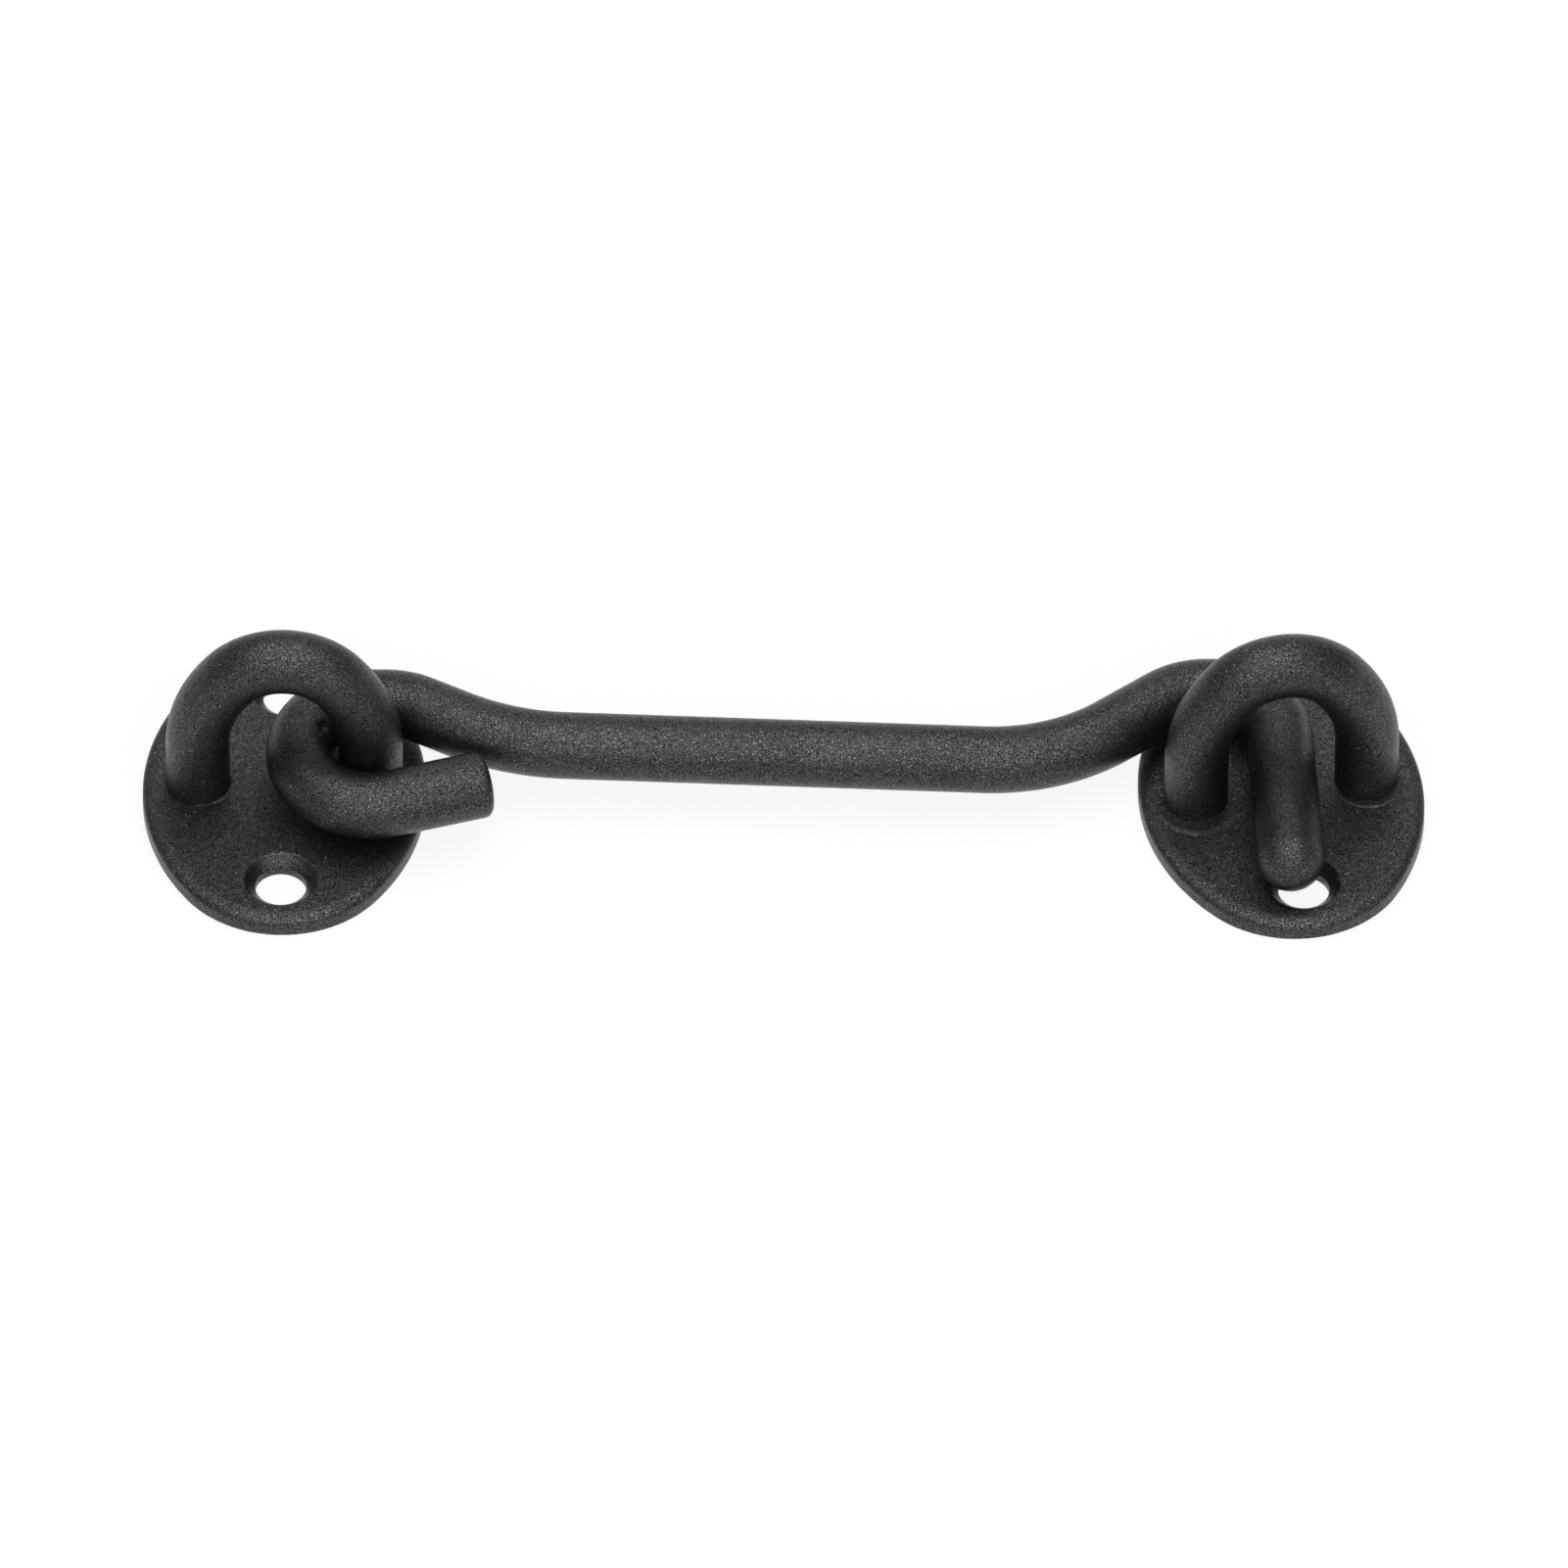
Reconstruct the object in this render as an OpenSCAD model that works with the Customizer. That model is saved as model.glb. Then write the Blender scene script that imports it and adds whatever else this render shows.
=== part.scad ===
// Cabin hook latch: a bar hook hung by its open eye on the staple of a base plate,
// with its bent end standing in the staple of a separate keeper plate.
// The back faces of both plates lie at z = 0 and their fronts face +Z.
// The base plate's centre is the origin, and the keeper lies towards +X.
// The hook's axis runs from the centre of its eye towards the keeper.

/* [Plates] */
// Width of each oval plate, along the bar
plate_w = 29.6; // [27:0.2:34]
// Length of each oval plate, along its line of screws
plate_l = 39.6; // [37:0.2:46]
// Thickness of each plate
plate_t = 2.2; // [1.8:0.1:3]
// Radius of the plate's two tighter ends
plate_end_r = 12.2; // [11:0.1:12.8]
// Rounding of the plate's front edge
plate_edge_r = 0.7; // [0.2:0.1:1]
// Chamfer of the plate's back edge
plate_back_edge = 0.1; // [0.1:0.1:0.5]

/* [Screw holes] */
// Distance between the two screw holes of a plate
screw_spacing = 27.4; // [26:0.2:29]
// Bore of a screw hole
screw_hole_d = 5.3; // [4:0.1:5.6]
// Rim of the countersink
countersink_d = 7.6; // [6.6:0.1:8]
// Rounding of the countersink's rim
rim_r = 0.3; // [0.1:0.1:0.5]

/* [Staples] */
// Diameter of the staples' round bar
staple_d = 6.7; // [6:0.1:7]
// Distance between the centre lines of a staple's two legs
staple_span = 18; // [17.6:0.1:19]
// Height of the crown's centre line over the front of the plate
staple_rise = 18.25; // [18:0.25:24]
// Bend radius of the crown, to the centre line
crown_r = 7.2; // [6.8:0.05:7.8]
// Half of the angle that the crown's bend turns through
crown_angle = 53.6; // [50:0.2:56]
// Straight length between the crown's bend and each shoulder's bend
crown_flat = 0.5; // [0.5:0.1:1]
// Gap between a leg and its hole in the plate
staple_fit = 0.05; // [0.02:0.01:0.1]
// Height and reach of the weld fillet round the foot of a leg
weld_size = 0.7; // [0.4:0.1:1]

/* [Hook bar] */
// Diameter of the hook's round bar
hook_d = 7; // [6.4:0.1:7.2]
// Gap all round between the eye and the leg that it hangs on
eye_clear = 0.6; // [0.4:0.05:0.7]
// Straight length of the eye's free end
free_end_l = 10.4; // [6:0.2:12]
// Angle by which the free end closes towards the bar
free_end_angle = 17; // [10:1:20]
// Rounding of the free end's sawn face
sawn_r = 0.8; // [0.2:0.1:1.2]
// Straight length between the eye and the first neck
eye_lead = 1.6; // [1:0.1:4]
// Distance of the bar's start from the hook's axis
bar_offset = 1.5; // [0:0.1:2]
// Angle by which the bar runs down towards that axis
bar_slope = 1.9; // [0:0.1:2.5]
// Straight length of the bar between its two necks
bar_l = 43.5; // [30:0.5:160]

/* [Hook necks] */
// Angle of the neck beside the eye
eye_neck_angle = 28; // [24:1:32]
// Bend radius of that neck, to the centre line
eye_neck_r = 7.5; // [6:0.1:9]
// Radius of the sweep from that neck into the bar
eye_sweep_r = 26; // [20:0.5:28]
// Angle of the neck beside the keeper
keeper_neck_angle = 38; // [34:1:42]
// Radius of the sweep from the bar into that neck
keeper_sweep_r = 20.7; // [16:0.1:22]
// Bend radius of that neck behind the keeper, to the centre line
keeper_neck_r = 7.5; // [6:0.1:9]

/* [Hook end] */
// Distance of the bar behind the keeper from the hook's axis
tail_offset = 10.2; // [9.8:0.1:11]
// Straight length behind the keeper's first leg
tail_l = 0.5; // [0.5:0.1:4]
// Bend radius of the hook, to the centre line
hook_bend_r = 7; // [6:0.1:8]
// Angle by which the bend stays short of a right angle
hook_lean = 3.4; // [0:0.1:4]
// Distance from the hook's axis to the centre of the domed tip
tip_reach = 13.7; // [11:0.1:15]

/* [Resting place] */
// Height of the bar's underside over the base plate, at the eye
eye_rest = 1.2; // [1.1:0.1:1.6]
// Height of the bar's underside over the keeper plate, at the hook
tip_rest = 0.3; // [0.2:0.05:0.6]
// Angle by which the hook and the keeper lie swung round the base's leg
rest_swing = 1; // [0:0.2:4]
// Angle by which the keeper plate lies turned from the hook's axis
keeper_turn = 9.5; // [0:0.5:10]
// Distance by which the keeper's centre lies beyond the middle of the hook's end
keeper_shift = -0.05; // [-0.05:0.05:0.3]

/* [Hidden] */
$fn = 96;

// Overshoot of a cut past the face that it starts from
overcut = 0.5;
// Gap between a weld fillet and the leg that it rings
weld_gap = 0.02;
// Radius of a weld fillet's hollow face, as a share of the fillet's size
weld_hollow = 0.9;
// A bar draws in by this much where it is bent
bend_thinning = 0.02;
// Each bend runs on by this much inside the straight beside it
bend_lap = 0.2;
// The plate's ends lie inside its flatter sides by this much where the two meet
end_inset = 0.01;
// Step of the polygons that round edges, in degrees
edge_step = 15;
// Finish of every piece
coat = [0.13, 0.13, 0.14];

// The plate's outline is an oval of four arcs: two ends and two flatter sides
plate_end_y = plate_l / 2 - plate_end_r;
plate_side_r = (pow(plate_w / 2, 2) + pow(plate_end_y, 2) - pow(plate_end_r, 2))
    / (plate_w - 2 * plate_end_r);
plate_side_x = plate_side_r - plate_w / 2;
plate_side_angle = atan2(plate_end_y, plate_side_x);
countersink_depth = (countersink_d - screw_hole_d) / 2;
// The rim's rounding touches the cone and the front face at this distance from the rim
rim_reach = rim_r * tan(22.5);

// A staple has straight legs, a shoulder bend on each, and a tighter crown
shoulder_r = (staple_span / 2 - crown_r * sin(crown_angle) - crown_flat * cos(crown_angle))
    / (1 - sin(crown_angle));
shoulder_turn = 90 - crown_angle;
leg_l = plate_t + staple_rise - crown_r * (1 - cos(crown_angle))
    - crown_flat * sin(crown_angle) - shoulder_r * cos(crown_angle);
leg_x = staple_span / 2;
// A bent bar is a list of [straight length, bend radius, turn to the left in degrees]
staple_run = [
    [leg_l, shoulder_r, -shoulder_turn],
    [crown_flat, crown_r, -2 * crown_angle],
    [crown_flat, shoulder_r, -shoulder_turn],
    [leg_l, 0, 0],
];

// The hook's run starts at its sawn end and is laid out round the leg that it hangs on
eye_r = staple_d / 2 + eye_clear + hook_d / 2;
eye_neck_l = (eye_r - bar_offset - eye_neck_r * (1 - cos(eye_neck_angle))
    - eye_sweep_r * (cos(bar_slope) - cos(eye_neck_angle))) / sin(eye_neck_angle);
bar_end_y = bar_offset - bar_l * sin(bar_slope);
keeper_neck_l = (tail_offset - bar_end_y - keeper_neck_r * (1 - cos(keeper_neck_angle))
    - keeper_sweep_r * (cos(bar_slope) - cos(keeper_neck_angle))) / sin(keeper_neck_angle);
tip_l = (tail_offset + tip_reach - hook_bend_r * (1 - sin(hook_lean))) / cos(hook_lean);
hook_start = eye_r * [sin(free_end_angle), -cos(free_end_angle)]
    + free_end_l * [cos(free_end_angle), sin(free_end_angle)];
hook_start_angle = 180 + free_end_angle;
hook_run = [
    [free_end_l, eye_r, -hook_start_angle],
    [eye_lead, eye_neck_r, -eye_neck_angle],
    [eye_neck_l, eye_sweep_r, eye_neck_angle - bar_slope],
    [bar_l, keeper_sweep_r, bar_slope + keeper_neck_angle],
    [keeper_neck_l, keeper_neck_r, -keeper_neck_angle],
    [tail_l, hook_bend_r, -(90 - hook_lean)],
    [tip_l, 0, 0],
];

// Where a run ends, as [x, y, heading], after its first n steps
function run_end(run, n, x, y, heading) = n == 0 ? [x, y, heading] : let (
    before = run_end(run, n - 1, x, y, heading),
    step = run[n - 1],
    after = step_end(step),
    a = before[2]
) [
    before[0] + after[0] * cos(a) - after[1] * sin(a),
    before[1] + after[0] * sin(a) + after[1] * cos(a),
    a + step[2]
];

// Where one step ends, seen from its own start and heading
function step_end(step) = [
    step[0] + step[1] * sin(abs(step[2])),
    step[1] * sign(step[2]) * (1 - cos(step[2]))
];

tip = run_end(hook_run, len(hook_run), hook_start[0], hook_start[1], hook_start_angle);
// Reach from the leg that the hook hangs on to the keeper's centre, where the end crosses the axis
keeper_reach = tip[0] - tip_reach * tan(hook_lean) + keeper_shift;
eye_z = plate_t + eye_rest + hook_d / 2;
// The bar lies with its eye a little higher than its hooked end
droop = asin((eye_rest - tip_rest) / tip[0]);

// Bend of a bar of diameter d from the origin along +X, turning left about [0, r]
module bend(d, r, turn) {
    lap = bend_lap * 180 / (PI * r);
    translate([0, r, 0])
        rotate([0, 0, -90 - lap])
        rotate_extrude(angle = turn + 2 * lap)
        translate([r, 0])
        circle(d = d - 2 * bend_thinning);
}

// Bar of diameter d along a run of straights and bends, from the origin along +X
module bent_bar(run, d, i = 0) {
    step = run[i];
    rotate([0, 90, 0]) cylinder(d = d, h = step[0]);
    if (i + 1 < len(run)) {
        translate([step[0], 0, 0])
            mirror([0, step[2] < 0 ? 1 : 0, 0])
            bend(d, step[1], abs(step[2]));
        translate([step_end(step)[0], step_end(step)[1], 0])
            rotate([0, 0, step[2]])
            bent_bar(run, d, i + 1);
    }
}

// Points of an arc of radius r about a centre, from one angle to another
function arc(centre, r, from, to) = [for (a = [from:edge_step:to]) centre + r * [cos(a), sin(a)]];

// Half section of a disc of radius r with the plate's thickness and rounded front edge
module disc_section(r) {
    rounding = arc([r - plate_edge_r, plate_t - plate_edge_r], plate_edge_r, 0, 90);
    polygon(concat([[0, 0], [r - plate_back_edge, 0], [r, plate_back_edge]], rounding, [[0, plate_t]]));
}

module oval_blank() {
    for (a = [0, 180]) {
        rotate([0, 0, a]) {
            translate([-plate_side_x, 0, 0])
                rotate([0, 0, -plate_side_angle])
                rotate_extrude(angle = 2 * plate_side_angle)
                disc_section(plate_side_r);
            translate([0, plate_end_y, 0])
                rotate_extrude()
                disc_section(plate_end_r - end_inset);
        }
    }
}

// Countersunk hole from the back face up through the front, with a rounded rim
module screw_hole() {
    rim_x = countersink_d / 2 + rim_reach;
    rim = arc([rim_x, plate_t - rim_r], rim_r, 90, 135);
    rotate_extrude()
        polygon(concat(
            [[0, -overcut], [0, plate_t + overcut], [rim_x, plate_t + overcut]],
            rim,
            [[screw_hole_d / 2, plate_t - countersink_depth], [screw_hole_d / 2, -overcut]]
        ));
}

module plate() {
    difference() {
        oval_blank();
        for (side = [-1, 1]) {
            translate([0, side * screw_spacing / 2, 0]) screw_hole();
            translate([side * leg_x, 0, -overcut])
                cylinder(d = staple_d + 2 * staple_fit, h = plate_t + 2 * overcut);
        }
    }
}

module staple() {
    translate([-leg_x, 0, 0]) rotate([90, -90, 0]) bent_bar(staple_run, staple_d);
}

// Weld fillets on the plate's front, one round each leg
module welds() {
    for (side = [-1, 1]) {
        translate([side * leg_x, 0, plate_t])
            rotate_extrude()
            translate([staple_d / 2 + weld_gap, 0])
            difference() {
                square(weld_size);
                translate([weld_size, weld_size]) circle(r = weld_size * weld_hollow);
            }
    }
}

// Frame of the hook as it lies at rest, with its eye round the base's leg
module at_rest() {
    translate([leg_x, 0, 0]) rotate([0, 0, rest_swing]) children();
}

module at_keeper() {
    at_rest() translate([keeper_reach, 0, 0]) rotate([0, 0, keeper_turn]) children();
}

module base_plate() { color(coat) plate(); }
module base_staple() { color(coat) staple(); }
module base_welds() { color(coat) welds(); }
module keeper_plate() { color(coat) at_keeper() plate(); }
module keeper_staple() { color(coat) at_keeper() staple(); }
module keeper_welds() { color(coat) at_keeper() welds(); }

module hook_bar() {
    color(coat)
        at_rest()
        translate([0, 0, eye_z])
        rotate([0, droop, 0]) {
            translate([hook_start[0], hook_start[1], 0])
                rotate([0, 0, hook_start_angle])
                difference() {
                    bent_bar(hook_run, hook_d);
                    sawn_edge();
                }
            translate([tip[0], tip[1], 0]) sphere(d = hook_d - 2 * bend_thinning);
        }
}

// Ring that rounds the rim of the free end's sawn face
module sawn_edge() {
    corner = [hook_d / 2 - sawn_r, sawn_r];
    rotate([0, 90, 0])
        rotate_extrude()
        polygon(concat(
            arc(corner, sawn_r, -90, 0),
            [[hook_d / 2 + overcut, sawn_r], [hook_d / 2 + overcut, -overcut], [corner[0], -overcut]]
        ));
}

base_plate();
base_staple();
base_welds();
hook_bar();
keeper_plate();
keeper_staple();
keeper_welds();
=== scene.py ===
"""Looks of a cabin hook latch: a bar hook on the staple of a base plate, and its keeper.

Every piece is bar or plate under the same black powder coat. Each is made here as closed
meshes on the dimensions of its CAD solid, with the softened edges, the irregular weld beads
and the slight unevenness that bending and coating leave. Lengths are in metres and angles
in degrees.
"""
import math

import bmesh
import bpy
from mathutils import Matrix, Vector, geometry, noise


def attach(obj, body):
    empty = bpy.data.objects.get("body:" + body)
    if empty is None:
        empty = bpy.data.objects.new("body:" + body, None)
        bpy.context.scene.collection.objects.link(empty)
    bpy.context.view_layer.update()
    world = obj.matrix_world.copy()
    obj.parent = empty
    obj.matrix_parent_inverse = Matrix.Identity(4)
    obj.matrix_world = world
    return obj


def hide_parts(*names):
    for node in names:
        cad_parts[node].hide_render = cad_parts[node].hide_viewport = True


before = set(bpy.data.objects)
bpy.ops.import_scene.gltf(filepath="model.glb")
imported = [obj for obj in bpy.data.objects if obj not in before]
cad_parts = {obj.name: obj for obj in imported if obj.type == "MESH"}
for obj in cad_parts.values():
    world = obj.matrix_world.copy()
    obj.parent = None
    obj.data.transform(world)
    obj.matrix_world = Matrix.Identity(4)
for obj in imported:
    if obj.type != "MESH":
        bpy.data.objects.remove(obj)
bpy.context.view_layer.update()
MM = 0.001

# Plates. The front edge falls away in a quarter of an ellipse
plate_w = 29.6 * MM
plate_l = 39.59 * MM
plate_t = 2.2 * MM
plate_end_r = 12.2 * MM
plate_edge_w = 1.6 * MM
plate_edge_h = 0.8 * MM
plate_back_r = 0.12 * MM

# Screw holes
screw_spacing = 27.4 * MM
screw_hole_r = 2.65 * MM
countersink_r = 3.8 * MM
rim_r = 0.3 * MM
throat_r = 0.2 * MM

# Staples. The crown is the middle arc of three, with a short straight on each side of it, and
# crown_angle is half of its turn
staple_d = 6.7 * MM
staple_span = 18 * MM
staple_rise = 18.25 * MM
crown_r = 7.2 * MM
crown_angle = 53.6
crown_flat = 0.5 * MM
staple_hole_r = 3.36 * MM
leg_end_r = 0.3 * MM
leg_x = staple_span / 2

# Weld beads: how deep they reach into plate and leg, and how far their upper edge laps the leg
weld_sink = 0.1 * MM
weld_lap = 0.03 * MM
# The higher this is, the further out a low bead stays level and the steeper its edge falls
pad_level = 6

# Hook bar. From its sawn free end it runs round the eye, over a neck and a wide sweep into the
# bar, over another sweep and neck to the short tail behind the keeper's leg, and round the
# hook's bend to the tip. Offsets and reach are distances from the hook's axis, which is the
# line from the eye's centre to the keeper's
hook_d = 7 * MM
eye_clear = 0.6 * MM
eye_r = staple_d / 2 + eye_clear + hook_d / 2
free_end_l = 10.4 * MM
free_end_angle = 17
sawn_r = 0.9 * MM
eye_lead = 1.6 * MM
bar_offset = 1.5 * MM
bar_slope = 1.9
bar_l = 43.5 * MM
eye_neck_angle = 28
eye_neck_r = 7.5 * MM
eye_sweep_r = 26 * MM
keeper_neck_angle = 38
keeper_sweep_r = 20.7 * MM
keeper_neck_r = 7.5 * MM
tail_offset = 10.2 * MM
tail_l = 0.5 * MM
hook_bend_r = 7 * MM
hook_lean = 3.4
tip_reach = 13.7 * MM

# Resting place: how high the bar's underside lies over the plates at eye and tip, the swing of
# hook and keeper round the leg, the keeper's turn against the hook's axis, and its shift along
# that axis from the middle of the hook's end
eye_rest = 1.2 * MM
tip_rest = 0.3 * MM
rest_swing = 1
keeper_turn = 9.5
keeper_shift = -0.05 * MM

# Unevenness of the coated surfaces: the depth of the relief and the breadth of its lumps
coat_relief = 0.02 * MM
coat_lump = 0.8 * MM
weld_relief = 0.06 * MM
weld_lump = 1.1 * MM
# Each piece takes its relief from another place in the noise
seed_shift = Vector((7.3, 3.1, 5.7))
# Share of its radius that a bar would be drawn in by in a bend as tight as its radius
bend_squeeze = 0.015
# Nick at the inner rim of the eye, as a place in the finished model
nick_at = Vector((4.15, 1.3, 9.6)) * MM
nick_r = 0.75 * MM
nick_depth = 0.35 * MM

# Fineness of the meshes
around_bar = 72
along_bar = 0.35 * MM
least_in_bend = 4
bar_end_steps = 6
dome_steps = 15
along_rim = 0.45 * MM
plate_edge_steps = 10
rim_steps = 4
corner_steps = 3
around_hole = 72
around_weld = 120
weld_steps = 12
front_mesh = 0.55 * MM
back_mesh = 1.6 * MM
# Points of a face net keep this share of its spacing from the edges of the face
net_room = 0.6
# Points nearer to each other than this are merged
merge_within = 0.002 * MM
# Angle from which an edge is shaded as a sharp one
sharp_from = 40

# Powder coat. A scale is in cells per metre. Ranges run from a pattern's low to its high
grain_scale = 7500
grain_detail = 2
grain_roughness = 0.6
grain_range = (0.36, 0.64)
peel_scale = 1400
peel_detail = 1
cloud_scale = 110
cloud_detail = 3
cloud_range = (0.3, 0.7)
rub_scale = 380
rub_detail = 2
rub_range = (0.56, 0.68)
# The edge of a speck is (where it starts to fade, where it ends), as a share of its cell
# Flecks are glossier specks, and their colour is lightened as a painted sparkle
fleck_scale = 1100
fleck_edge = (0.06, 0.13)
fleck_least = 0.7
glint_scale = 2800
glint_edge = (0.14, 0.26)
glint_least = 0.5

tone_by_grain = (0.002, 0.011)
tone_by_cloud = (0.85, 1.15)
# Lightness added to the colour of the flecks, a painted sparkle
painted_sparkle_tone = 0.16
rub_tone = 0.003
tint = {"Red": 0.98, "Green": 0.99, "Blue": 1.05}
shine_by_grain = (0.055, 1.17)
shine_by_cloud = (0.92, 1.08)
grain_sharpness = 1.5
glint_shine = 1.8
veil_strength = 0.7
veil_sharpness = 4.0
roughness_by_cloud = (0.27, 0.33)
fleck_gloss = 0.1
rub_gloss = 0.05
grain_height = 0.16
peel_height = 0.4
bump_depth = 0.12 * MM

# Setting
world_strength = 0.25
floor_size = 8
floor_colour = (0.8, 0.8, 0.8, 1)
floor_roughness = 0.9
floor_white = 0.88
white = (1, 1, 1, 1)
# Each lamp is (name, (width, depth), power, place), and faces lit_point
lamps = (
    ("overhead", (0.95, 0.8), 5.4, (0.04, 0.03, 0.7)),
    ("front", (1.6, 0.9), 8.8, (0.17, -0.8, 0.62)),
    ("back", (0.85, 0.8), 0.9, (0.05, 0.9, 0.36)),
)
lit_point = Vector((0.05, 0, 0))

# The photograph's view, square to the hook's axis and nearly without perspective
view_elevation = 46
view_roll = 0.203
view_distance = 4.0
view_width = 163.37 * MM
view_centre = Vector((52.03, 0.24, 2.2)) * MM
view_reach = 100


def sin(degrees):
    return math.sin(math.radians(degrees))


def cos(degrees):
    return math.cos(math.radians(degrees))


def turned(angle):
    return Matrix.Rotation(math.radians(angle), 4, "Z")


def arc(centre, radius, start, end, steps):
    """Points on an arc, from one angle to another."""
    angles = [start + (end - start) * i / steps for i in range(steps + 1)]
    return [(centre[0] + radius * cos(a), centre[1] + radius * sin(a)) for a in angles]


def step_end(step):
    """Where one step of a run ends, seen from its own start and heading."""
    straight, radius, turn = step
    ahead = straight + radius * sin(abs(turn))
    return Vector((ahead, math.copysign(radius * (1 - cos(turn)), turn)))


def run_end(run, start, heading):
    """Where a run of (straight, bend radius, left turn) ends."""
    place = Vector(start)
    for step in run:
        place += Matrix.Rotation(math.radians(heading), 2) @ step_end(step)
        heading += step[2]
    return place


def staple_run():
    shoulder_x = leg_x - crown_r * sin(crown_angle) - crown_flat * cos(crown_angle)
    shoulder_r = shoulder_x / (1 - sin(crown_angle))
    leg_l = (plate_t + staple_rise - crown_r * (1 - cos(crown_angle))
             - crown_flat * sin(crown_angle) - shoulder_r * cos(crown_angle))
    shoulder_turn = 90 - crown_angle
    return [
        (leg_l, shoulder_r, -shoulder_turn),
        (crown_flat, crown_r, -2 * crown_angle),
        (crown_flat, shoulder_r, -shoulder_turn),
        (leg_l, 0, 0),
    ]


def neck_length(offset, neck_r, sweep_r, angle):
    """Straight of a neck that carries the bar over by offset, between its bend and its sweep."""
    bends = neck_r * (1 - cos(angle)) + sweep_r * (cos(bar_slope) - cos(angle))
    return (offset - bends) / sin(angle)


def hook_run():
    eye_neck_l = neck_length(eye_r - bar_offset, eye_neck_r, eye_sweep_r, eye_neck_angle)
    bar_end_y = bar_offset - bar_l * sin(bar_slope)
    keeper_neck_l = neck_length(tail_offset - bar_end_y, keeper_neck_r, keeper_sweep_r,
                                keeper_neck_angle)
    tip_l = (tail_offset + tip_reach - hook_bend_r * (1 - sin(hook_lean))) / cos(hook_lean)
    return [
        (free_end_l, eye_r, -(180 + free_end_angle)),
        (eye_lead, eye_neck_r, -eye_neck_angle),
        (eye_neck_l, eye_sweep_r, eye_neck_angle - bar_slope),
        (bar_l, keeper_sweep_r, bar_slope + keeper_neck_angle),
        (keeper_neck_l, keeper_neck_r, -keeper_neck_angle),
        (tail_l, hook_bend_r, -(90 - hook_lean)),
        (tip_l, 0, 0),
    ]


hook_start = Vector((
    eye_r * sin(free_end_angle) + free_end_l * cos(free_end_angle),
    -eye_r * cos(free_end_angle) + free_end_l * sin(free_end_angle),
))
hook_heading = 180 + free_end_angle
tip = run_end(hook_run(), hook_start, hook_heading)
keeper_reach = tip.x - tip_reach * math.tan(math.radians(hook_lean)) + keeper_shift
eye_z = plate_t + eye_rest + hook_d / 2
droop = math.asin((eye_rest - tip_rest) / tip.x)

at_base = Matrix.Identity(4)
at_rest = Matrix.Translation((leg_x, 0, 0)) @ turned(rest_swing)
at_keeper = at_rest @ Matrix.Translation((keeper_reach, 0, 0)) @ turned(keeper_turn)
at_hook = at_rest @ Matrix.Translation((0, 0, eye_z)) @ Matrix.Rotation(droop, 4, "Y")
# A staple's run is laid out in the plane of its arch, from one leg's back to the other's
upright = Matrix(((0, -1, 0, -leg_x), (0, 0, 1, 0), (1, 0, 0, 0), (0, 0, 0, 1)))


def sample_run(run, start, heading):
    """Stations every along_bar on a run, as (x, y, heading, curvature)."""
    stations = []
    place = Vector(start)
    for straight, radius, turn in run:
        forward = Vector((cos(heading), sin(heading)))
        steps = max(1, math.ceil(straight / along_bar))
        for i in range(steps):
            at = place + forward * straight * i / steps
            stations.append((at.x, at.y, heading, 0.0))
        place += forward * straight
        if turn:
            side = math.copysign(1, turn)
            centre = place + Vector((-forward.y, forward.x)) * radius * side
            bend_l = math.radians(abs(turn)) * radius
            steps = max(least_in_bend, math.ceil(bend_l / along_bar))
            for i in range(steps):
                angle = turn * i / steps
                at = centre + Matrix.Rotation(math.radians(angle), 2) @ (place - centre)
                stations.append((at.x, at.y, heading + angle, 1 / radius))
            place = centre + Matrix.Rotation(math.radians(turn), 2) @ (place - centre)
            heading += turn
    stations.append((place.x, place.y, heading, 0.0))
    return stations


def bar_ring(station, radius, squeeze=0.0, ahead=0.0):
    """Ring of points round a bar, drawn in by a share of its radius in the plane of its bends."""
    x, y, heading, _ = station
    forward = Vector((cos(heading), sin(heading), 0))
    side = Vector((-forward.y, forward.x, 0)) * radius * (1 - squeeze)
    up = Vector((0, 0, radius))
    centre = Vector((x, y, 0)) + forward * ahead
    angles = [360 * i / around_bar for i in range(around_bar)]
    return [centre + side * cos(a) + up * sin(a) for a in angles]


def end_rings(station, radius, round_r, direction):
    """Rings over the rounded rim of a bar's end face, from the face outwards."""
    rings = []
    for i in range(bar_end_steps + 1):
        angle = 90 * i / bar_end_steps
        ahead = direction * round_r * (1 - cos(angle))
        rings.append(bar_ring(station, radius - round_r * (1 - sin(angle)), 0, ahead))
    return rings


def bar_rings(stations, radius, start_r, end_r):
    """Rings along a bar, with its two end faces rounded, and drawn in where it is bent."""
    # The squeeze is averaged over a radius of bar to each side, so it eases in and out
    ease = round(radius / along_bar)
    first, last = (Vector(stations[i][:2]) for i in (0, -1))
    rings = end_rings(stations[0], radius, start_r, 1)
    for i, station in enumerate(stations):
        place = Vector(station[:2])
        past_start = (place - first).length > start_r + along_bar / 2
        if past_start and (place - last).length > end_r + along_bar / 2:
            near = [s[3] for s in stations[max(0, i - ease):i + ease + 1]]
            squeeze = bend_squeeze * radius * sum(near) / len(near)
            rings.append(bar_ring(station, radius, squeeze))
    return rings + end_rings(stations[-1], radius, end_r, -1)[::-1]


def strip(mesh, rings, joined=False):
    """Faces between neighbouring rings of points, and between the last and the first if joined."""
    made = [[mesh.verts.new(p) for p in ring] for ring in rings]
    count = len(made[0])
    for low, high in zip(made, made[1:] + made[:1] if joined else made[1:]):
        for i in range(count):
            j = (i + 1) % count
            mesh.faces.new((low[i], low[j], high[j], high[i]))
    return made


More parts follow.
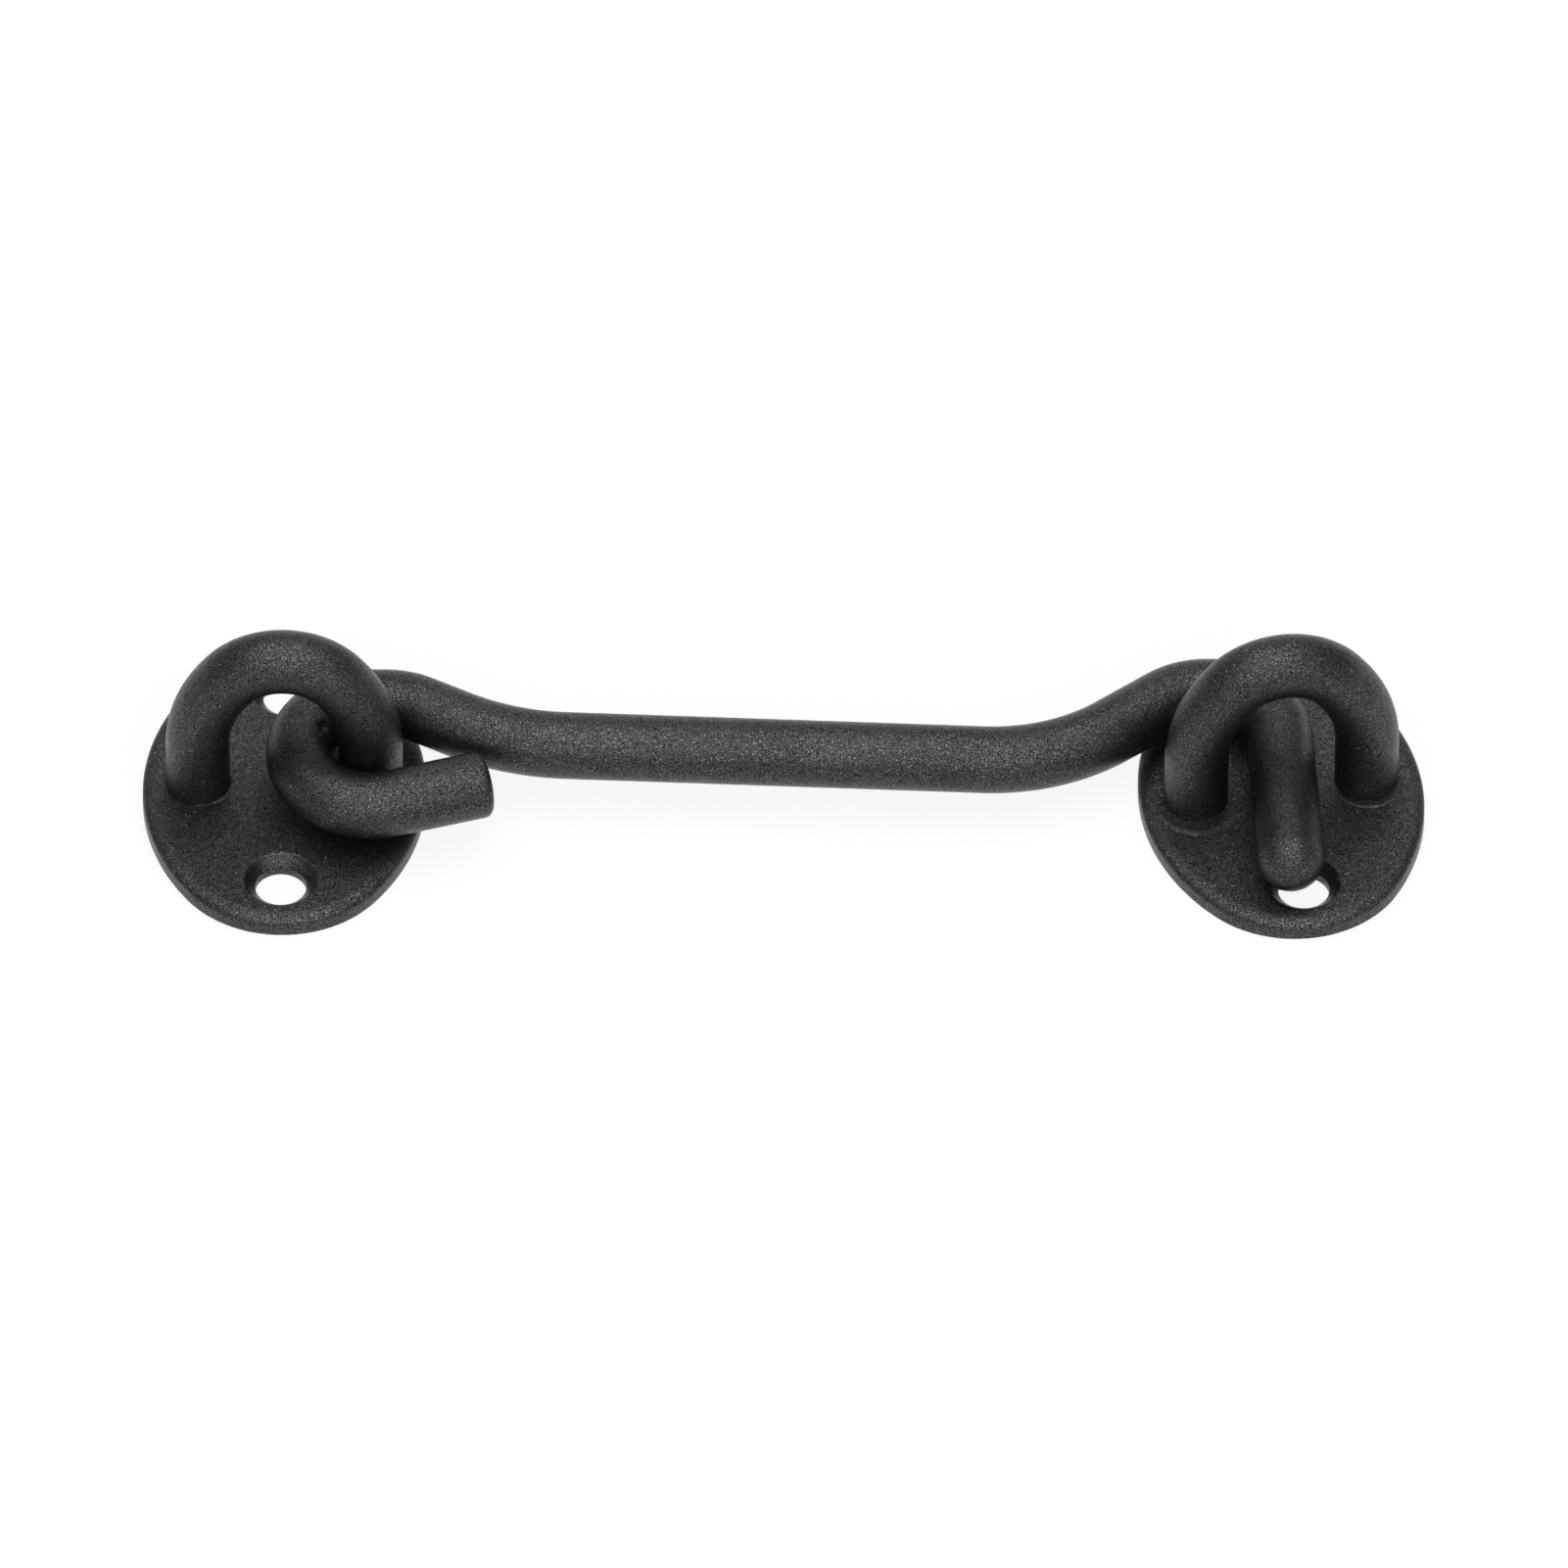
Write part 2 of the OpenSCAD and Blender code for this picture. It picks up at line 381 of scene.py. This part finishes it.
def capped(rings):
    """Closed mesh over rings, with a fan of faces on each end."""
    mesh = bmesh.new()
    made = strip(mesh, rings)
    for ring in (made[0], made[-1]):
        centre = mesh.verts.new(sum((v.co for v in ring), Vector()) / len(ring))
        for i, vert in enumerate(ring):
            mesh.faces.new((ring[i - 1], vert, centre))
    return mesh


def roughen(mesh, seed, relief, lump):
    """Draws the surface in by an uneven depth."""
    bmesh.ops.recalc_face_normals(mesh, faces=mesh.faces)
    mesh.normal_update()
    shift = seed_shift * seed
    moves = []
    for vert in mesh.verts:
        # Two octaves of noise, each of twice the frequency and half the height of the last
        depth = 0.5 + 0.5 * noise.fractal(vert.co / lump + shift, 1.0, 2.0, 2)
        moves.append(vert.normal * -relief * min(1, max(0, depth)))
    for vert, move in zip(mesh.verts, moves):
        vert.co += move


def piece(name, mesh, place, node, body):
    """Puts a mesh in the scene in place of the CAD node that it stands for."""
    mesh.transform(place)
    bmesh.ops.recalc_face_normals(mesh, faces=mesh.faces)
    data = bpy.data.meshes.new(name)
    mesh.to_mesh(data)
    mesh.free()
    data.shade_smooth()
    data.set_sharp_from_angle(angle=math.radians(sharp_from))
    data.materials.append(coat)
    made = bpy.data.objects.new(name, data)
    bpy.context.scene.collection.objects.link(made)
    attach(made, body)
    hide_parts(node)


def oval_ring(inset, z):
    """Points round the plate's outline of four arcs, drawn in by inset."""
    end_y = plate_l / 2 - plate_end_r
    side_r = ((plate_w / 2) ** 2 + end_y ** 2 - plate_end_r ** 2) / (plate_w - 2 * plate_end_r)
    side_x = side_r - plate_w / 2
    side_angle = math.degrees(math.atan2(end_y, side_x))
    arcs = [
        ((-side_x, 0), side_r, -side_angle, side_angle),
        ((0, end_y), plate_end_r, side_angle, 180 - side_angle),
        ((side_x, 0), side_r, 180 - side_angle, 180 + side_angle),
        ((0, -end_y), plate_end_r, 180 + side_angle, 360 - side_angle),
    ]
    points = []
    for centre, radius, start, end in arcs:
        steps = round(math.radians(end - start) * radius / along_rim)
        points += [(x, y, z) for x, y in arc(centre, radius - inset, start, end, steps)[:-1]]
    return points


def hole_ring(centre, radius, z):
    return [(x, y, z) for x, y in arc(centre, radius, 0, 360, around_hole)[:-1]]


def face_between(mesh, outer, holes, z, spacing):
    """Flat face inside a ring and outside some holes, over a net of points of its own."""
    points = [Vector(p[:2]) for p in outer]
    sides = list(zip(points, points[1:] + points[:1]))
    edges = [(i, (i + 1) % len(outer)) for i in range(len(outer))]
    discs = [(Vector(centre), radius) for centre, radius in holes]
    for centre, radius in holes:
        first = len(points)
        points += [Vector(p[:2]) for p in hole_ring(centre, radius, z)]
        edges += [(first + i, first + (i + 1) % around_hole) for i in range(around_hole)]
    room = net_room * spacing
    row_y = spacing * cos(30)
    rows = math.ceil(plate_l / 2 / row_y)
    columns = math.ceil(plate_w / 2 / spacing)
    for row in range(-rows, rows + 1):
        for column in range(-columns, columns + 1):
            at = Vector(((column + 0.5 * (row % 2)) * spacing, row * row_y))
            inside = all((b - a).cross(at - a) > room * (b - a).length for a, b in sides)
            if inside and all((at - centre).length > radius + room for centre, radius in discs):
                points.append(at)
    # Output type 0 covers the holes too, so the triangles inside them are left out after it
    flat, _, triangles, *_ = geometry.delaunay_2d_cdt(points, edges, [], 0, 0.0, False)
    made = [mesh.verts.new((p.x, p.y, z)) for p in flat]
    for triangle in triangles:
        middle = sum((flat[i] for i in triangle), Vector((0, 0))) / 3
        if all((middle - centre).length > radius for centre, radius in discs):
            mesh.faces.new([made[i] for i in triangle])


def plate_edge():
    """Edge of a plate from its back face to its front, as (inset, z)."""
    section = arc((plate_back_r, plate_back_r), plate_back_r, 270, 180, corner_steps)
    section.append((0, plate_t / 2))
    for i in range(plate_edge_steps + 1):
        angle = 90 * i / plate_edge_steps
        drop = plate_edge_h * (1 - sin(angle))
        section.append((plate_edge_w * (1 - cos(angle)), plate_t - drop))
    return section


def hole_back(radius):
    """Rounding of a hole's rim at the back face, as (radius, z)."""
    return arc((radius + plate_back_r, plate_back_r), plate_back_r, 180, 270, corner_steps)


def screw_hole():
    """Wall of a countersunk hole from the front face to the back, as (radius, z)."""
    # Both roundings touch the cone, which stands at 45 degrees
    rim_x = countersink_r + rim_r * math.tan(math.radians(22.5))
    throat_z = plate_t - (countersink_r - screw_hole_r) - throat_r * (math.sqrt(2) - 1)
    section = arc((rim_x, plate_t - rim_r), rim_r, 90, 135, rim_steps)
    section += arc((screw_hole_r + throat_r, throat_z), throat_r, 135, 180, corner_steps)
    return section + hole_back(screw_hole_r)


def plate(name, place, node, seed):
    """Oval plate with a rounded front edge, two screw holes and two staple holes."""
    mesh = bmesh.new()
    edge = plate_edge()
    strip(mesh, [oval_ring(inset, z) for inset, z in edge])
    staple_hole = [(staple_hole_r, plate_t)] + hole_back(staple_hole_r)
    front, back = [], []
    for side in (-1, 1):
        for centre, section in (
            ((0, side * screw_spacing / 2), screw_hole()),
            ((side * leg_x, 0), staple_hole),
        ):
            strip(mesh, [hole_ring(centre, radius, z) for radius, z in section])
            front.append((centre, section[0][0]))
            back.append((centre, section[-1][0]))
    face_between(mesh, oval_ring(edge[-1][0], plate_t), front, plate_t, front_mesh)
    face_between(mesh, oval_ring(edge[0][0], 0), back, 0, back_mesh)
    bmesh.ops.remove_doubles(mesh, verts=mesh.verts, dist=merge_within)
    roughen(mesh, seed, coat_relief, coat_lump)
    piece(name, mesh, place, node, "plates")


def staple(name, place, node, seed):
    """Round bar bent to an arch of three arcs, its two ends at the plate's back."""
    stations = sample_run(staple_run(), (0, 0), 0)
    mesh = capped(bar_rings(stations, staple_d / 2, leg_end_r, leg_end_r))
    mesh.transform(upright)
    roughen(mesh, seed, coat_relief, coat_lump)
    piece(name, mesh, place, node, "plates")


def hook(name, seed):
    """Bar hook: sawn end, eye, neck, bar, second neck, bend and domed tip."""
    radius = hook_d / 2
    stations = sample_run(hook_run(), hook_start, hook_heading)
    # Of the rings of a flat end only the outer one is kept, and the dome stands on it
    rings = bar_rings(stations, radius, sawn_r, 0)[:-bar_end_steps]
    for i in range(1, dome_steps):
        angle = 90 * i / dome_steps
        rings.append(bar_ring(stations[-1], radius * cos(angle), 0, radius * sin(angle)))
    mesh = capped(rings)
    nick = at_hook.inverted() @ nick_at
    mesh.normal_update()
    for vert in mesh.verts:
        share = (vert.co - nick).length / nick_r
        if share < 1:
            vert.co -= vert.normal * nick_depth * (1 - share ** 2)
    roughen(mesh, seed, coat_relief, coat_lump)
    piece(name, mesh, at_hook, "hook_bar", "hook")


def fillet(share):
    """Profile of a hollow bead, as a share of its height at a share of its reach."""
    return 1 - math.sqrt(1 - (1 - share) ** 2)


def pad(share):
    """Profile of a low bead that is level from the leg to its rounded edge."""
    return 0.5 + 0.5 * cos(180 * share ** pad_level)


def weld(name, side, shape, reach, height, towards, spread, place, node, seed):
    """Bead round the foot of the leg on one side, with a profile of the given shape.

    Its reach and height, in mm, grow from the least to the most in the direction towards,
    over a narrower part of the round the higher spread is.
    """
    leg = staple_d / 2
    rings = []
    for i in range(around_weld):
        turn = 360 * i / around_weld
        lobe = (0.5 + 0.5 * cos(turn - towards)) ** spread
        wide = (reach[0] + (reach[1] - reach[0]) * lobe) * MM
        high = (height[0] + (height[1] - height[0]) * lobe) * MM
        section = [(leg - weld_sink, -weld_sink), (leg - weld_lap, high * shape(0))]
        for k in range(1, weld_steps + 1):
            # The steps are closest at the leg, where a hollow bead is steepest
            share = 1 - cos(90 * k / weld_steps)
            section.append((leg + wide * share, high * shape(share)))
        section.append((leg + wide, -weld_sink))
        x, y = cos(turn), sin(turn)
        rings.append([(side * leg_x + r * x, r * y, plate_t + z) for r, z in section])
    mesh = bmesh.new()
    strip(mesh, rings, joined=True)
    roughen(mesh, seed, weld_relief, weld_lump)
    piece(name, mesh, place, node, "plates")


def texture(tree, kind, place, settings):
    """A procedural pattern laid out in the piece's own space."""
    made = tree.nodes.new(kind)
    tree.links.new(place, made.inputs["Vector"])
    for name, value in settings.items():
        made.inputs[name].default_value = value
    return made


def fog(tree, place, scale, detail, roughness=0.5):
    """Cloudy noise."""
    settings = {"Scale": scale, "Detail": detail, "Roughness": roughness}
    return texture(tree, "ShaderNodeTexNoise", place, settings).outputs["Fac"]


def spread_over(tree, value, from_range, to_range):
    """Maps a pattern's range of values to another."""
    made = tree.nodes.new("ShaderNodeMapRange")
    tree.links.new(value, made.inputs["Value"])
    names = ("From Min", "From Max", "To Min", "To Max")
    for name, number in zip(names, from_range + to_range):
        made.inputs[name].default_value = number
    return made.outputs["Result"]


def combine(tree, operation, a, b):
    made = tree.nodes.new("ShaderNodeMath")
    made.operation = operation
    for socket, value in zip(made.inputs, (a, b)):
        if isinstance(value, float):
            socket.default_value = value
        else:
            tree.links.new(value, socket)
    return made.outputs["Value"]


def add_share(tree, value, pattern, share):
    """A value plus a share of a pattern."""
    return combine(tree, "ADD", value, combine(tree, "MULTIPLY", pattern, share))


def specks(tree, place, scale, edge, least):
    """Round specks in those of a pattern's cells whose lot is over the least.

    They are 1 inside and fade to 0 over their edge.
    """
    cells = texture(tree, "ShaderNodeTexVoronoi", place, {"Scale": scale, "Randomness": 1})
    near = spread_over(tree, cells.outputs["Distance"], edge, (1, 0))
    lot = tree.nodes.new("ShaderNodeSeparateColor")
    tree.links.new(cells.outputs["Color"], lot.inputs["Color"])
    chosen = combine(tree, "GREATER_THAN", lot.outputs["Red"], least)
    return combine(tree, "MULTIPLY", near, chosen)


def coat_colour(tree, grain, cloud, fleck_and_painted_sparkle, rub):
    tone = spread_over(tree, grain, (0, 1), tone_by_grain)
    tone = combine(tree, "MULTIPLY", tone, spread_over(tree, cloud, cloud_range, tone_by_cloud))
    # The flecks lighten the colour: painted sparkle
    tone = add_share(tree, tone, fleck_and_painted_sparkle, painted_sparkle_tone)
    tone = add_share(tree, tone, rub, rub_tone)
    colour = tree.nodes.new("ShaderNodeCombineColor")
    for name, share in tint.items():
        tree.links.new(combine(tree, "MULTIPLY", tone, share), colour.inputs[name])
    return colour.outputs["Color"]


def coat_shine(tree, grain, cloud, glint):
    """Specular level: low in the pits between the grains, and high on a few glints."""
    peaks = combine(tree, "POWER", grain, grain_sharpness)
    shine = spread_over(tree, peaks, (0, 1), shine_by_grain)
    shine = combine(tree, "MULTIPLY", shine, spread_over(tree, cloud, cloud_range, shine_by_cloud))
    shine = add_share(tree, shine, glint, glint_shine)
    # Seen along the surface, the grains hide each other's bright sides
    slant = tree.nodes.new("ShaderNodeLayerWeight").outputs["Facing"]
    slant = combine(tree, "POWER", slant, veil_sharpness)
    veil = combine(tree, "MULTIPLY", slant, -veil_strength)
    return combine(tree, "MULTIPLY", shine, combine(tree, "ADD", veil, 1.0))


def coat_roughness(tree, cloud, fleck_and_painted_sparkle, rub):
    roughness = spread_over(tree, cloud, cloud_range, roughness_by_cloud)
    roughness = add_share(tree, roughness, fleck_and_painted_sparkle, -fleck_gloss)
    return add_share(tree, roughness, rub, -rub_gloss)


def coat_bump(tree, grain, peel):
    height = combine(tree, "MULTIPLY", grain, grain_height)
    bump = tree.nodes.new("ShaderNodeBump")
    bump.inputs["Strength"].default_value = 1
    bump.inputs["Distance"].default_value = bump_depth
    tree.links.new(add_share(tree, height, peel, peel_height), bump.inputs["Height"])
    return bump.outputs["Normal"]


def powder_coat():
    """Black powder coat: sandy grain over a soft orange peel, with glossy flecks whose lighter
    colour is painted sparkle, and rubbed patches.
    """
    material = bpy.data.materials.new("black_powder_coat")
    material.use_nodes = True
    tree = material.node_tree
    place = tree.nodes.new("ShaderNodeTexCoord").outputs["Object"]
    grain = fog(tree, place, grain_scale, grain_detail, grain_roughness)
    grain = spread_over(tree, grain, grain_range, (0, 1))
    peel = fog(tree, place, peel_scale, peel_detail)
    cloud = fog(tree, place, cloud_scale, cloud_detail)
    rub = spread_over(tree, fog(tree, place, rub_scale, rub_detail), rub_range, (0, 1))
    fleck_and_painted_sparkle = specks(tree, place, fleck_scale, fleck_edge, fleck_least)
    glint = specks(tree, place, glint_scale, glint_edge, glint_least)
    for name, made in (
        ("Base Color", coat_colour(tree, grain, cloud, fleck_and_painted_sparkle, rub)),
        ("Specular IOR Level", coat_shine(tree, grain, cloud, glint)),
        ("Roughness", coat_roughness(tree, cloud, fleck_and_painted_sparkle, rub)),
        ("Normal", coat_bump(tree, grain, peel)),
    ):
        tree.links.new(made, tree.nodes["Principled BSDF"].inputs[name])
    return material


def shown_white(tree, surface, share):
    """Surface that is seen by the camera and in mirrors as mostly plain white.

    Light falls on it as on any other, so it keeps the object's shadow.
    """
    rays = tree.nodes.new("ShaderNodeLightPath")
    seen = rays.outputs["Is Camera Ray"]
    for name in ("Is Glossy Ray", "Is Transmission Ray"):
        seen = combine(tree, "MAXIMUM", seen, rays.outputs[name])
    glow = tree.nodes.new("ShaderNodeEmission")
    glow.inputs["Color"].default_value = white
    glow.inputs["Strength"].default_value = 1
    mix = tree.nodes.new("ShaderNodeMixShader")
    tree.links.new(combine(tree, "MULTIPLY", seen, share), mix.inputs["Fac"])
    tree.links.new(surface, mix.inputs[1])
    tree.links.new(glow.outputs["Emission"], mix.inputs[2])
    return mix.outputs["Shader"]


def add_world(scene):
    """Dim even light from all round."""
    world = bpy.data.worlds.new("white_room")
    scene.world = world
    world.use_nodes = True
    background = world.node_tree.nodes["Background"]
    background.inputs["Color"].default_value = white
    background.inputs["Strength"].default_value = world_strength


def add_floor(scene):
    mesh = bmesh.new()
    bmesh.ops.create_grid(mesh, x_segments=1, y_segments=1, size=floor_size)
    data = bpy.data.meshes.new("floor")
    mesh.to_mesh(data)
    mesh.free()
    floor = bpy.data.objects.new("floor", data)
    scene.collection.objects.link(floor)
    pale = bpy.data.materials.new("pale_floor")
    pale.use_nodes = True
    tree = pale.node_tree
    shader = tree.nodes["Principled BSDF"]
    shader.inputs["Base Color"].default_value = floor_colour
    shader.inputs["Roughness"].default_value = floor_roughness
    surface = shown_white(tree, shader.outputs["BSDF"], floor_white)
    tree.links.new(surface, tree.nodes["Material Output"].inputs["Surface"])
    data.materials.append(pale)


def add_lamps(scene):
    for name, size, power, place in lamps:
        data = bpy.data.lights.new(name, "AREA")
        data.shape = "RECTANGLE"
        data.size, data.size_y = size
        data.energy = power
        lamp = bpy.data.objects.new(name, data)
        lamp.location = place
        lamp.rotation_euler = (Vector(place) - lit_point).to_track_quat("Z", "Y").to_euler()
        scene.collection.objects.link(lamp)


def add_camera(scene):
    data = bpy.data.cameras.new("camera")
    data.lens = data.sensor_width * view_distance / view_width
    data.clip_end = view_reach
    camera = bpy.data.objects.new("camera", data)
    scene.collection.objects.link(camera)
    scene.camera = camera
    back = turned(rest_swing) @ Vector((0, -cos(view_elevation), sin(view_elevation)))
    camera.location = turned(rest_swing) @ view_centre + back * view_distance
    camera.rotation_mode = "QUATERNION"
    facing = (-back).to_track_quat("-Z", "Y")
    roll = Matrix.Rotation(math.radians(view_roll), 3, "Z").to_quaternion()
    camera.rotation_quaternion = facing @ roll


coat = powder_coat()
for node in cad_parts.values():
    node.data.materials.clear()
    node.data.materials.append(coat)

plate("base_plate_coated", at_base, "base_plate", 1)
plate("keeper_plate_coated", at_keeper, "keeper_plate", 2)
staple("base_staple_coated", at_base, "base_staple", 3)
staple("keeper_staple_coated", at_keeper, "keeper_staple", 4)
hook("hook_bar_coated", 5)
weld("base_weld_left", -1, fillet, (0.15, 1.3), (0.0, 0.45), 10, 3, at_base, "base_welds", 6)
weld("base_weld_right", 1, fillet, (0.6, 1.4), (0.6, 1.0), 200, 2, at_base, "base_welds", 7)
weld("keeper_weld_left", -1, pad, (0.3, 2.1), (0.0, 0.13), -95, 2, at_keeper, "keeper_welds", 8)
weld("keeper_weld_right", 1, pad, (0.3, 1.0), (0.0, 0.13), -85, 3, at_keeper, "keeper_welds", 9)

scene = bpy.context.scene
scene.view_settings.view_transform = "Standard"
add_world(scene)
add_floor(scene)
add_lamps(scene)
add_camera(scene)
